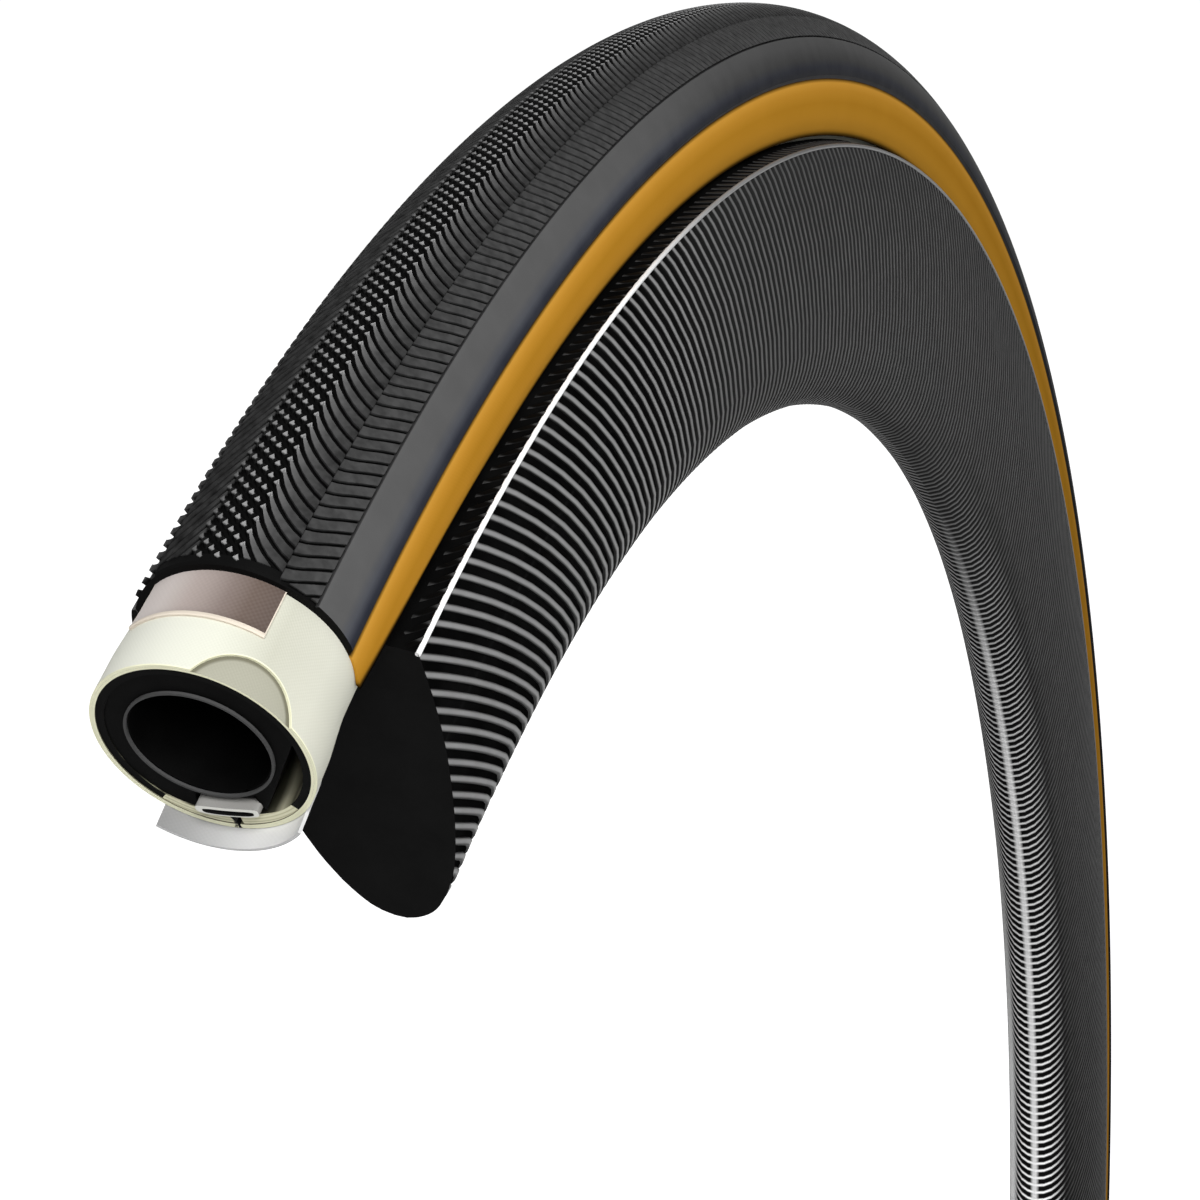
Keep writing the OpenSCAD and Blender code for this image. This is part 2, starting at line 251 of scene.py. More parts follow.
def sweep(name, phis, outer, inner, closed=False, kind_slots=None, sharp=35):
    """A section, given as an outer and an inner line, turned round the axle through the given angles."""
    phi = np.asarray(phis)[:, None]
    grids = (at(phi, line[:, 0], line[:, 1]) for line in (outer, inner))
    return plate(name, *grids, closed, kind_slots, sharp)


def casing_layer(name, phis, turn, top, low, kind_slots, side=1):
    """A layer of the casing between two depths below its surface; the depths may vary along and across."""
    phi = np.asarray(phis, float)[:, None]
    sections = casing(phi, turn, top), casing(phi, turn, low)
    return plate(name, *(at(phi, r, side * h) for r, h in sections), kind_slots=kind_slots)


def paint_faces(piece, k, rows, cols=None):
    """Gives faces of a plate's outer side, by station and column, its second material."""
    slots = np.zeros(len(piece.data.polygons), np.int32)
    piece.data.polygons.foreach_get("material_index", slots)
    i, j = np.meshgrid(rows, range(k - 1) if cols is None else cols, indexing="ij")
    slots[(i * (k - 1) + j).ravel()] = 1
    piece.data.polygons.foreach_set("material_index", slots)


def repeated(faces, copies, per):
    """The faces of one shape, repeated for copies with so many points each."""
    return (faces[None] + (np.arange(copies) * per)[:, None, None]).reshape(-1, 4)


def array_of(name, outer, inner, sharp=35):
    """Many closed plates in one mesh: outer and inner are copies by n by k points."""
    copies, n, k = outer.shape[:3]
    faces = repeated(wall_faces(n, k, False)[0], copies, 2 * n * k)
    points = np.concatenate([outer.reshape(copies, -1, 3), inner.reshape(copies, -1, 3)], 1).reshape(-1, 3)
    return make_mesh(name, points, faces, np.zeros(len(faces)), sharp)


# ---- Materials: a tone is one sRGB value of 0 to 255 for a grey, or three for a colour ----


def linear(c):
    """A linear value from an sRGB share."""
    return c / 12.92 if c <= 0.04045 else ((c + 0.055) / 1.055) ** 2.4


def as_colour(tone):
    """A linear colour with its alpha from a tone; a socket, or a colour with its alpha, stays as it is."""
    if isinstance(tone, int):
        tone = (tone, tone, tone)
    if isinstance(tone, tuple) and len(tone) == 3:
        return tuple(linear(c / 255) for c in tone) + (1.0,)
    return tone


def darker(tone, share):
    """A tone's linear colour, cut to a share of its light."""
    return tuple(c * share for c in as_colour(tone)[:3]) + (1.0,)


class Graph:
    """A node tree under construction."""

    def __init__(self, tree):
        self.tree = tree

    def feed(self, socket, value):
        """Links an input to another node's output, or gives it a plain value."""
        if isinstance(value, bpy.types.NodeSocket):
            self.tree.links.new(value, socket)
        else:
            socket.default_value = value

    def node(self, kind, inputs=(), **settings):
        """A new node, with values for its inputs by name or number."""
        n = self.tree.nodes.new("ShaderNode" + kind)
        for key, value in settings.items():
            setattr(n, key, value)
        for key, value in dict(inputs).items():
            self.feed(n.inputs[key], value)
        return n

    def math(self, op, *values):
        return self.node("Math", enumerate(values), operation=SIGNS.get(op, op)).outputs[0]

    def hypot(self, a, b):
        """The length of a vector with two parts."""
        m = self.math
        return m("SQRT", m("+", m("*", a, a), m("*", b, b)))

    def span(self, value, low, high, to=(0, 1)):
        """0 to 1, or other ends, as a value goes from low to high."""
        ends = {"From Min": low, "From Max": high, "To Min": to[0], "To Max": to[1]}
        return self.node("MapRange", {"Value": value, **ends}).outputs[0]


class Shade(Graph):
    """A node material under construction."""

    def __init__(self, name, rough=0.5, specular=0.5, metallic=0.0):
        self.mat = bpy.data.materials.new(name)
        self.mat.use_nodes = True
        super().__init__(self.mat.node_tree)
        self.bsdf = next(n for n in self.tree.nodes if n.type == "BSDF_PRINCIPLED")
        self.put("Roughness", rough)
        self.put("Specular IOR Level", specular)
        self.put("Metallic", metallic)
        self.coord = self.node("TexCoord").outputs["Object"]

    def put(self, name, value):
        """Sets or links an input of the shader."""
        self.feed(self.bsdf.inputs[name], value)

    def xyz(self):
        """The object's own coordinates."""
        return self.node("SeparateXYZ", {0: self.coord}).outputs

    @cached_property
    def ring(self):
        """The values of the five properties below; the ring angle goes from -220 to 140."""
        x, y, z = self.xyz()
        m = self.math
        r = m("*", self.hypot(x, z), 1000.0)
        h = m("*", y, -1000.0)
        phi = m("*", m("ARCTAN2", z, x), DEG)
        phi = m("-", phi, m("*", m("GREATER_THAN", phi, 140.0), 360.0))
        up = m("-", r, TREAD_C)
        return phi, m("*", m("ARCTAN2", h, up), DEG), self.hypot(up, h), r, h

    # Ring angle, section angle, and distances in mm from the tread's middle, from the axle and to the left.
    phi = property(lambda self: self.ring[0])
    theta = property(lambda self: self.ring[1])
    rho = property(lambda self: self.ring[2])
    r = property(lambda self: self.ring[3])
    h = property(lambda self: self.ring[4])

    def ramp(self, value, stops, low=None, high=None):
        """A colour ramp over stops of (value, tone), from the first stop to the last or from low to high."""
        low = stops[0][0] if low is None else low
        high = stops[-1][0] if high is None else high
        n = self.node("ValToRGB", {0: self.span(value, low, high)})
        e = n.color_ramp.elements
        while len(e) > 1:
            e.remove(e[-1])
        for i, (p, tone) in enumerate(stops):
            place = (p - low) / (high - low)
            spot = e[0] if i == 0 else e.new(place)
            spot.position = place
            spot.color = as_colour(tone)
        return n.outputs[0]

    def shares(self, value, stops):
        """A ramp over stops of (value, linear share)."""
        return self.ramp(value, [(p, (v, v, v, 1.0)) for p, v in stops])

    def round_ring(self, stops):
        """A ramp over stops of (ring angle, linear share)."""
        return self.shares(self.phi, stops)

    def lit_near_cut(self):
        """1 near the cut, where the painted light on the shoulders and the rim is strongest, 0 further round.
        """
        return self.round_ring([(-180, 0), (95, 0), (102, 0.25), (107, 0.85), (110, 1), (180, 1)])

    def noise(self, scale, detail=3.0):
        return self.node("TexNoise", {"Vector": self.coord, "Scale": scale, "Detail": detail}).outputs["Fac"]

    def mix(self, fac, a, b, kind="MIX"):
        """A blend of two colours or tones."""
        inputs = {0: fac, 6: as_colour(a), 7: as_colour(b)}
        return self.node("Mix", inputs, data_type="RGBA", blend_type=kind).outputs[2]

    def dim(self, tone, stops):
        """A colour made darker by shares over the ring angle."""
        return self.mix(1.0, tone, self.round_ring(stops), "MULTIPLY")

    def mottled(self, a, b, scale):
        """Slow variation between two tones."""
        return self.mix(self.noise(scale), a, b)

    def specks(self, scale, dark, pale, detail=3.0):
        """Crisper variation between two tones."""
        return self.ramp(self.noise(scale, detail), [(0.3, dark), (0.7, pale)], 0, 1)

    def weave(self, pitch):
        """Height of a bias weave: two sets of threads at 45 degrees to the ring, pitch in mm."""
        m = self.math
        u = m("*", self.phi, 325 * math.pi / 180 * 2 * math.pi / pitch)
        v = m("*", self.theta, 11.5 * math.pi / 180 * 2 * math.pi / pitch)
        a = m("SINE", m("+", u, v))
        b = m("SINE", m("-", u, v))
        return m("*", m("+", a, b), 0.25)

    def threads(self, pitch, low, high):
        """The weave in two tones, for its gaps and its threads."""
        return self.ramp(self.weave(pitch), [(-0.5, low), (0.5, high)])

    def base(self, colour):
        self.put("Base Color", colour)

    def bump(self, height, distance, strength):
        """Relief with its depth in mm. It comes last, so it gives the finished material back."""
        inputs = {"Height": height, "Distance": distance * MM, "Strength": strength}
        self.put("Normal", self.node("Bump", inputs).outputs[0])
        return self.mat


def tread_shade():
    """Ribbed rubber with painted light: painted highlights on the raised tops, painted shade in the grooves
    and beside the centre band.
    """
    s = Shade("tread_rubber", specular=0.05)
    # Painted shade: darker towards the right and at the edges of the zones, lightest just left of the centre.
    side = s.ramp(s.theta, [
        (-60, 26), (-35.2, 24), (-34.2, 16), (-20, 20), (-13, 40), (11, 104), (15, 80), (22, 54),
        (34.2, 30), (35.2, 44), (55, 52)], -60, 60)
    # Painted highlight on the raised tops and painted shade in the grooves, by depth below the tread's
    # surface.
    depth = s.span(s.rho, TREAD_R - GROOVE_DEPTH * 0.75, TREAD_R - 0.05)
    s.base(s.mix(depth, 4, s.mix(GRAIN, side, s.specks(900, 20, 110, 2))))
    s.put("Roughness", s.span(s.noise(400), -1.2, 1.6))
    return s.bump(s.noise(2500, 2), 0.02, 0.5)


def knob_shade():
    """The knobs, with painted light: painted shade down their sides, painted highlights on their tips, dimmer
    towards the right.
    """
    s = Shade("tread_knob_rubber", rough=0.45, specular=0.08)
    # Painted highlights on the tips, dimmer towards the right, and painted shade down the sides below them.
    tone = s.ramp(s.theta, [(-16, 44), (-9, 104), (0, 128), (14, 130)])
    s.base(s.mix(s.span(s.rho, TREAD_R - 0.12, TREAD_R - 0.01), 4, tone))
    return s.bump(s.noise(2500, 2), 0.015, 0.4)


def shoulder_shade():
    """Smooth grey tread shoulder with painted shade: a dark line at its step, blue-black towards the
    sidewall, much darker round most of the ring, and paler near the cut as painted light.
    """
    s = Shade("shoulder_rubber", rough=0.55, specular=0.03)
    away = s.math("ABSOLUTE", s.theta)
    # Painted shade: a dark line at the step from the grooved strip, and blue-black towards the sidewall.
    near = s.ramp(away, [
        (55, 28), (56.3, 28), (56.9, 74), (72, 76), (78, (64, 66, 72)), (83, (30, 33, 44)),
        (87, (12, 14, 20))])
    far = s.ramp(away, [
        (55, 24), (56.3, 24), (56.9, 66), (64, 62), (74, 46), (80, (26, 28, 36)), (87, (10, 12, 18))])
    # Paler near the cut, as painted light.
    tone = s.mix(0.08, s.mix(s.lit_near_cut(), far, near), s.specks(250, 40, 92))
    # Painted shade: much darker round most of the ring, away from the light.
    s.base(s.dim(tone, [(-180, 0.35), (45, 0.35), (82, 1), (180, 1)]))
    return s.bump(s.noise(1800, 3), 0.02, 0.5)


def amber_shade():
    """Skin-coloured sidewall with painted shade: darker along its middle and round most of the ring, near
    black at its top edge, brown to black along its lower edge.
    """
    s = Shade("sidewall_amber", rough=0.55, specular=0.0)
    m = s.math
    # Painted light across the band: darker along the middle, a paler strip as painted highlight, then near
    # black at the top edge as painted shade.
    band = s.ramp(s.r, [
        (316.0, (182, 132, 46)), (319.3, (178, 127, 40)), (321.5, (166, 117, 32)),
        (323.4, (178, 127, 42)), (324.6, (192, 140, 54)), (324.95, (120, 86, 30)),
        (325.15, (12, 12, 18))], 316.0, 325.2)
    band = s.mix(GRAIN, band, s.mottled((134, 96, 26), (196, 146, 58), 90))
    # Painted shade: darker round most of the ring.
    band = s.dim(band, [(-180, 0.62), (45, 0.62), (90, 0.9), (112, 1), (180, 1)])
    # Painted shade along the lower edge, brown to black, reaching higher towards the cut.
    past = m("MAXIMUM", m("-", s.phi, 117.0), 0.0)
    lower_edge = m("+", m("*", m("POWER", past, 2.0), 0.052), 316.25)
    lower_edge_shade = s.ramp(m("-", s.r, lower_edge), [(0.0, 0), (0.35, 110), (0.8, 230), (1.2, 255)])
    s.base(s.mix(lower_edge_shade, (10, 8, 5), band))
    return s.bump(m("+", s.weave(0.55), s.noise(1500, 2)), 0.015, 0.5)


def cloth_shade():
    """Fine bias-laid cotton in a thin coat of latex, with painted light and shade across the casing: palest
    towards the right, darkest in a band about 48 degrees to the left.
    """
    s = Shade("casing_cloth", rough=0.6, specular=0.1)
    # Painted light and shade by section angle; the specks and threads below are the cloth's own.
    tone = s.ramp(s.theta, [
        (-120, (214, 215, 203)), (-50, (220, 221, 210)), (-15, (206, 207, 196)), (20, (194, 195, 182)),
        (48, (168, 168, 154)), (60, (176, 176, 163)), (80, (192, 192, 179)), (140, (190, 190, 176))])
    tone = s.mix(0.15, tone, s.specks(45, (176, 176, 160), (214, 214, 202)))
    s.base(s.mix(0.06, tone, s.threads(CLOTH_PITCH, 150, 230)))
    return s.bump(s.weave(CLOTH_PITCH), 0.02, 0.5)


def inner_cloth_shade():
    """The second ply, with a painted shadow along the edge of the window, where the outer ply's cut edge
    shades it.
    """
    s = Shade("casing_cloth_inner", rough=0.6, specular=0.2)
    m = s.math
    centre = CASING_END + WINDOW_BEYOND / WINDOW_RING_R * DEG
    along = m("*", m("-", s.phi, centre), WINDOW_RING_R / DEG)
    turn = m("*", m("ARCTAN2", s.h, m("-", s.r, CASING_C)), DEG)
    across = m("*", m("-", turn, WINDOW_AT), WINDOW_SECTION_R / DEG)
    cloth = s.mix(0.15, s.mottled((148, 147, 133), (142, 141, 127), 45),
                  s.threads(CLOTH_PITCH, (134, 133, 119), (158, 157, 143)))
    # Painted shadow: the ply darkens near the window's edge and under the outer ply.
    edge = s.ramp(s.hypot(along, across), [(4.6, 0), (5.6, 60), (5.9, 235), (6.8, 255)])
    s.base(s.mix(edge, cloth, (88, 86, 70)))
    return s.bump(s.weave(CLOTH_PITCH), 0.02, 0.5)


def belt_shade():
    """Puncture belt of fine mauve-grey cloth, with painted shade: paler towards its right side, darker
    towards its left.
    """
    s = Shade("belt_fabric", rough=0.55, specular=0.2)
    # Painted shade across the belt, darker towards its left side.
    tone = s.ramp(s.theta, [
        (-38, (196, 188, 184)), (-22, (184, 176, 172)), (-6, (154, 143, 138)), (4, (136, 125, 120)),
        (14, (112, 100, 95)), (26, (88, 75, 68)), (38, (78, 66, 60))])
    s.base(s.mix(0.04, tone, s.threads(0.6, (70, 60, 58), (200, 192, 188))))
    return s.bump(s.weave(0.6), 0.012, 0.4)


def rubber_shade(name, tone, rough=0.6, specular=0.1):
    """Plain rubber, or another dull black part, with a fine grain."""
    s = Shade(name, rough=rough, specular=specular)
    s.base(s.mottled(max(tone - 4, 1), tone + 5, 220))
    return s.bump(s.noise(1600, 3), 0.02, 0.5)


def lining_reflection_shade():
    """The lining's inner face: dark olive rubber with painted reflections as pale streaks along the ring."""
    s = Shade("lining_painted_reflections", rough=0.4, specular=0.2)
    away = s.math("ABSOLUTE", s.theta)
    s.base(s.ramp(away, [
        (90, (14, 14, 11)), (104, (20, 20, 15)), (109, (58, 58, 48)), (113, (14, 14, 11)),
        (124, (18, 18, 14)), (131, (74, 74, 60)), (136, (118, 116, 98)), (140, (56, 55, 44)),
        (145, (130, 128, 108)), (150, (160, 157, 136)), (156, (60, 59, 48)), (163, (20, 20, 16)),
        (180, (12, 12, 9))]))
    return s.bump(s.noise(900, 2), 0.02, 0.5)


def hem_shade():
    """The casing's folded edge: layers of cloth seen as fine lines on the cut."""
    s = Shade("hem_cloth", rough=0.6, specular=0.2)
    radius = s.hypot(s.math("-", s.r, CASING_C), s.h)
    layers = s.math("SINE", s.math("*", radius, 2 * math.pi / 0.43))
    lines = s.ramp(layers, [(-1, (166, 163, 132)), (-0.4, (198, 196, 168)), (1, (208, 206, 180))])
    s.base(s.mix(0.8, s.mottled((206, 204, 178), (196, 193, 164), 120), lines))
    return s.bump(layers, 0.01, 0.4)


def edge_shade(name, a, b):
    """The cut edge of a cloth, in two tones."""
    s = Shade(name, rough=0.55, specular=0.2)
    s.base(s.mottled(a, b, 300))
    return s.bump(s.noise(3000, 2), 0.02, 0.5)


def tape_shade(name, a, b, across=None):
    """Woven tape in two tones, or with tones over its width for its ground."""
    s = Shade(name, rough=0.6, specular=0.2)
    tone = s.ramp(s.h, across) if across else s.mottled(a, b, 70)
    s.base(s.mix(0.08, tone, s.threads(0.5, b, a)))
    return s.bump(s.weave(0.5), 0.012, 0.4)


def nose_highlights(s):
    """Painted highlights where the rim's nose would shine between its ribs: a line along its middle, and its
    right side.
    """
    m = s.math
    line = s.ramp(s.h, [(-1.5, 0), (-0.7, 255), (0.1, 255), (0.9, 0)])
    round_line = s.round_ring([(-180, 0.8), (36, 0.8), (46, 0.6), (54, 0.2), (62, 0), (180, 0)])
    side = s.ramp(s.h, [(-13, 60), (-9.5, 225), (-7.2, 235), (-5.8, 0)])
    round_side = s.round_ring([(-180, 0), (-90, 0.1), (-20, 1), (14, 1), (28, 0.35), (38, 0), (180, 0)])
    side = m("*", m("*", side, round_side), s.shares(s.r, [(282, 1), (290, 0)]))
    return m("MAXIMUM", m("*", line, round_line), side)


def rim_valley(s, near):
    """The rim between its ribs: near black by the cut, dark grey away from it, with painted shade on the
    nose.
    """
    cut = s.lit_near_cut()
    # Painted shade on the nose.
    nose = s.mix(cut, s.ramp(s.phi, [(46, 10), (68, 38)]), 7)
    return s.mix(s.span(s.r, 275, 281), nose, s.mix(cut, s.ramp(s.phi, [(-10, 27), (88, 43)]), near))


def rim_shade():
    """Black rim, satin, paler and duller away from the cut, with painted light: a faint highlight along a
    crease, shade on the ledge, highlights on the nose.
    """
    s = Shade("rim_black", rough=0.55, specular=0.0)
    r = s.r
    # Painted shade: near black on the ledge under the tire.
    valley = s.mix(s.span(r, 314.2, 314.9), rim_valley(s, 7), 6)
    valley = s.mix(GRAIN, valley, s.specks(120, 2, 40))
    # A faint painted highlight along a crease of the flank.
    crease_highlight = s.ramp(r, [(301.2, 0), (301.7, 120), (302.0, 0)])
    # Painted highlights on the nose.
    s.base(s.mix(nose_highlights(s), s.mix(crease_highlight, valley, 40), 215))
    return s.bump(s.noise(1200, 2), 0.015, 0.4)


def rib_highlight(s):
    """A painted highlight along the middle of each rib's top and painted shade down its sides, following the
    ribs' lean.
    """
    m = s.math
    place, line = smooth_line(RIM_HALF, 0.25)
    picks = np.linspace(0, len(place) - 1, 26).astype(int)
    down = sorted({round(float(line[i, 0]), 3): float(-rib_lean(place[i], place[-1])) for i in picks}.items())
    most = max(v for _, v in down)
    lean = m("*", s.shares(s.r, [(a, v / most) for a, v in down]), most)
    turn = m("/", m("-", m("+", s.phi, lean), RIM_RIB_FIRST), RIM_PITCH)
    away = m("ABSOLUTE", m("-", m("FRACT", m("+", turn, 1000.5)), 0.5))
    return s.ramp(away, [(0, 255), (0.1, 240), (0.18, 120), (0.25, 0)])


def rib_shade():
    """Fine raised ribs of the rim, with painted light: highlights on their tops, brighter near the cut and on
    the nose; shade down their sides and over the ledge.
    """
    s = Shade("rim_rib", rough=0.45, specular=0.03)
    r = s.r
    cut = s.lit_near_cut()
    # Painted highlight on the nose, strongest low on the ring.
    nose_highlight = s.round_ring([(-180, 1), (8, 1), (25, 0.7), (46, 0.4), (60, 0.1), (70, 0), (180, 0)])
    nose = s.mix(nose_highlight, s.mix(cut, 58, 116), 244)
    # Crest tones: lighter near the cut as painted light.
    tone = s.mix(s.span(r, 273, 278), nose, s.mix(cut, s.ramp(s.phi, [(-10, 33), (88, 53)]), 128))
    # Painted shade: near black over the ledge under the tire.
    tone = s.mix(s.span(r, 314.4, 315.2), tone, 8)
    tone = s.mix(GRAIN, tone, s.specks(300, 60, 150))
    # Painted highlights and shade across each rib, with the nose highlights on top.
    s.base(s.mix(nose_highlights(s), s.mix(rib_highlight(s), rim_valley(s, 5), tone), 215))
    return s.bump(s.noise(2500, 2), 0.015, 0.4)


def corner_highlight_shade():
    """Painted highlight on the rim's corner bead: bright near the cut, duller further round."""
    s = Shade("rim_corner_highlight", rough=0.35, specular=0.3)
    # Painted highlight, fading round the ring away from the cut.
    near = s.ramp(s.phi, [(60, 42), (96, 54), (104, 120), (111, 236), (125, 250)])
    s.base(s.mix(0.1, near, s.mottled(200, 120, 500)))
    return s.bump(s.noise(3000, 2), 0.005, 0.3)


def metal_shade(name, tone, thread=0.0):
    """Plated metal; with a thread pitch in mm, fine turned grooves along the valve's line."""
    s = Shade(name, metallic=1.0)
    m = s.math
    s.base(s.mottled(tone, darker(tone, 0.82), 700))
    s.put("Roughness", s.span(s.noise(900), -1.1, 2.6))
    if not thread:
        return s.bump(s.noise(2500, 2), 0.006, 0.4)
    x, y, z = s.xyz()
    turn = m("/", m("ARCTAN2", y, x), 2 * math.pi)
    turns = m("+", m("/", z, thread * MM), turn)
    return s.bump(m("SINE", m("*", turns, 2 * math.pi)), 0.06, 0.8)


def plastic_shade(name, tone):
    """Moulded plastic with a faint grain."""
    s = Shade(name, rough=0.38)
    s.base(s.mottled(tone, darker(tone, 0.7), 500))
    return s.bump(s.noise(3500, 2), 0.012, 0.5)


# ---- Tread ----


def tread_floor(mat, edge):
    """The rubber under the ribs, with a plain black band at the cut end."""
    band = TREAD_END - PLAIN_BAND
    phis = stations(124.5, 1.0, 125.4, band - 0.04, band, TREAD_END - 0.04, TREAD_END)
    turn = angles(-GROOVE_EDGE_RIGHT, GROOVE_EDGE, 1.5)
    rho = np.full((len(phis), len(turn)), TREAD_R - GROOVE_DEPTH)
    rho[:, turn < -39] -= 0.12
    rho[-3:, np.abs(turn) < 36] = TREAD_R - 0.16
    rho[-1] = TREAD_R - GROOVE_DEPTH
    a = np.radians(turn)
    outer = at(phis[:, None], TREAD_C + rho * np.cos(a), rho * np.sin(a))
    under = casing(phis[:, None], turn, np.where(np.abs(turn) < BELT_HALF, -BELT_T, 0.0))
    piece = plate("tread_floor", outer, at(phis[:, None], *under), kind_slots=END_SLOTS)
    paint_faces(piece, len(turn), range(len(phis) - 4, len(phis) - 1))
    settle(piece, [mat, edge], ["tread_centre", "tread_grooved_left", "tread_grooved_right"])


def knob_corners(middle, row, shape, size, rho):
    """Four corners of each knob in a row: a shape in half sizes of ring angle and section angle."""
    phi = middle + shape[:, 0] * size[0]
    t = np.radians(row + shape[:, 1] * size[1])[None] + 0 * phi
    return at(phi, TREAD_C + rho * np.cos(t), rho * np.sin(t))


def tread_knobs(mat):
    """Six rows of small pyramids along the crown, with diamond feet and dart-shaped tips."""
    diamond = np.array(((-1, 0), (0, 1), (1, 0), (0, -1)))
    dart = np.array(((-1.1, 0), (0.55, 0.75), (0.75, 0.55), (0, -1.1)))
    knobs = []
    for i, row in enumerate(KNOB_ROWS):
        first = KNOB_FIRST + (TREAD_PITCH / 2 if i % 2 else 0)
        middle = np.arange(first, PLAIN_CUT + 0.5 * TREAD_PITCH, -TREAD_PITCH)[:, None]
        tip = knob_corners(middle, row, dart, KNOB_TIP, TREAD_R)
        foot = knob_corners(middle, row, diamond, KNOB_FOOT, TREAD_R - GROOVE_DEPTH - 0.05)
        knobs.append(np.concatenate([tip, foot], 1))
    points = np.concatenate(knobs)
    flanks = [[i, i + 4, (i + 1) % 4 + 4, (i + 1) % 4] for i in range(4)]
    faces = repeated(np.array([[0, 1, 2, 3], [7, 6, 5, 4]] + flanks), len(points), 8)
    piece = make_mesh("tread_knobs", points.reshape(-1, 3), faces, np.zeros(len(faces)), 20)
    settle(piece, [mat])


def cut_places(fine, inside, clear, steps):
    """Where the points of a bar lie: over its part inside the ring, with one at each corner of a cut."""
    lo, hi = fine[inside][0], fine[inside][-1]
    along = lo + (hi - lo) * steps
    if not clear.any() or clear.sum() == inside.sum():
        return along
    last = len(along) - 1
    if not clear[inside][0]:
        along[1] = max(fine[clear][0], lo + 0.01 * (hi - lo))
        along[2:] = np.maximum(along[2:], along[1] + 0.004 * np.arange(1, last) * (hi - lo))
    if not clear[inside][-1]:
        along[-2] = min(fine[clear][-1], hi - 0.01 * (hi - lo))
        along[:-2] = np.minimum(along[:-2], along[-2] - 0.004 * np.arange(last - 1, 0, -1) * (hi - lo))
    return along


def cut_bars(first, pitch, shift_at, half_at, line, ends):
    """Slanted bars cut square at both ends of the ring.

    shift_at and half_at give a bar's offset and half width, in degrees of ring angle, along its own length.
    line holds the places of its points, and ends the lowest and highest ring angle.
    Returns the places and both edges of each bar."""
    fine = np.linspace(line[0], line[-1], 600)
    steps = (line - line[0]) / (line[-1] - line[0])
    shift, half = shift_at(fine), half_at(fine)
    places, middles = [], []
    for m in np.arange(first, ends[0] - 10, -pitch):
        inside = (m + shift - half < ends[1]) & (m + shift + half > ends[0])
        if inside.sum() < 12:
            continue
        clear = (m + shift + half < ends[1]) & (m + shift - half > ends[0])
        places.append(cut_places(fine, inside, clear, steps))
        middles.append(m)
    along, m = np.array(places), np.array(middles)[:, None]
    low = np.clip(m + shift_at(along) - half_at(along), *ends)
    high = np.clip(m + shift_at(along) + half_at(along), *ends)
    return along, low, high


def tread_bars(name, mat, side, first, turns, shifts, half_widths, end):
    """Raised ribs across one side of the tread, each following the same slanted line."""
    along, low, high = cut_bars(first, TREAD_PITCH, lambda t: np.interp(t, turns, shifts),
                                lambda t: np.interp(t, turns, half_widths), np.array(turns), (PLAIN_CUT, end))
    t = np.radians(along * side)
    base = TREAD_R - GROOVE_DEPTH - (0.04 if side > 0 else 0.16)
    flank = 0.018

    def edge(phi, rho):
        return at(np.clip(phi, PLAIN_CUT, end), TREAD_C + rho * np.cos(t), rho * np.sin(t))

    outer = np.stack([edge(low, TREAD_R), edge(high, TREAD_R)], 2)
    inner = np.stack([edge(low - flank, base), edge(high + flank, base)], 2)
    settle(array_of(name, outer, inner, sharp=25), [mat])


def tread_ribs(mat):
    """Curved ribs beside the knobs, and the bars of the grooved strips, which run further down the right."""
    last = {1: (55.3, -0.48, 0.112), -1: (GROOVE_EDGE_RIGHT - 0.2, -0.8, 0.075)}
    for side, label in SIDES:
        outermost, drift, w = last[side]
        tread_bars("tread_ribs_" + label, mat, side, 125.82, (11.4, 13.4, 16, 20, 25, 30, 34.3),
                   (0.0, 0.12, 0.27, 0.45, 0.62, 0.75, 0.82), (0.03, 0.06, 0.082, 0.09, 0.095, 0.1, 0.1),
                   TREAD_END - PLAIN_BAND)
        tread_bars("tread_plates_" + label, mat, side, 126.13 + TREAD_PITCH, (34.5, 38, 42, 48, outermost),
                   (0.0, -0.04, -0.12, -0.28, drift), (w, w, w, w, w), TREAD_END - 0.05)


def shoulders(mat, edge):
    """The smooth shoulders, with a shallow step at their upper edge."""
    for side, label in SIDES:
        first = GROOVE_EDGE if side > 0 else GROOVE_EDGE_RIGHT
        turn = np.concatenate([first + np.array([0, 0.1, 0.9, 1.2]), angles(first + 1.7, 84, 2.0),
                               [85.5, 86.5, SHOULDER_EDGE]])
        rho = np.interp(turn, [first, first + 0.1, first + 0.9, first + 1.2, first + 1.7, 84, 86.5, 87],
                        [11.75, 11.72, 11.72, 12.0, 12.05, 12.05, 11.98, 11.85])
        outer = arc(TREAD_C, rho, turn) * (1, side)
        inner = arc(CASING_C, CASING_R + 0.01, turn) * (1, side)
        phis = stations(TREAD_END - 1.5, 1.0, TREAD_END - 0.1, TREAD_END - 0.03, TREAD_END)
        piece = sweep("tread_shoulder_skin_" + label, phis, outer, inner, kind_slots=END_SLOTS)
        settle(piece, [mat, edge], ["tread_shoulder_" + label])


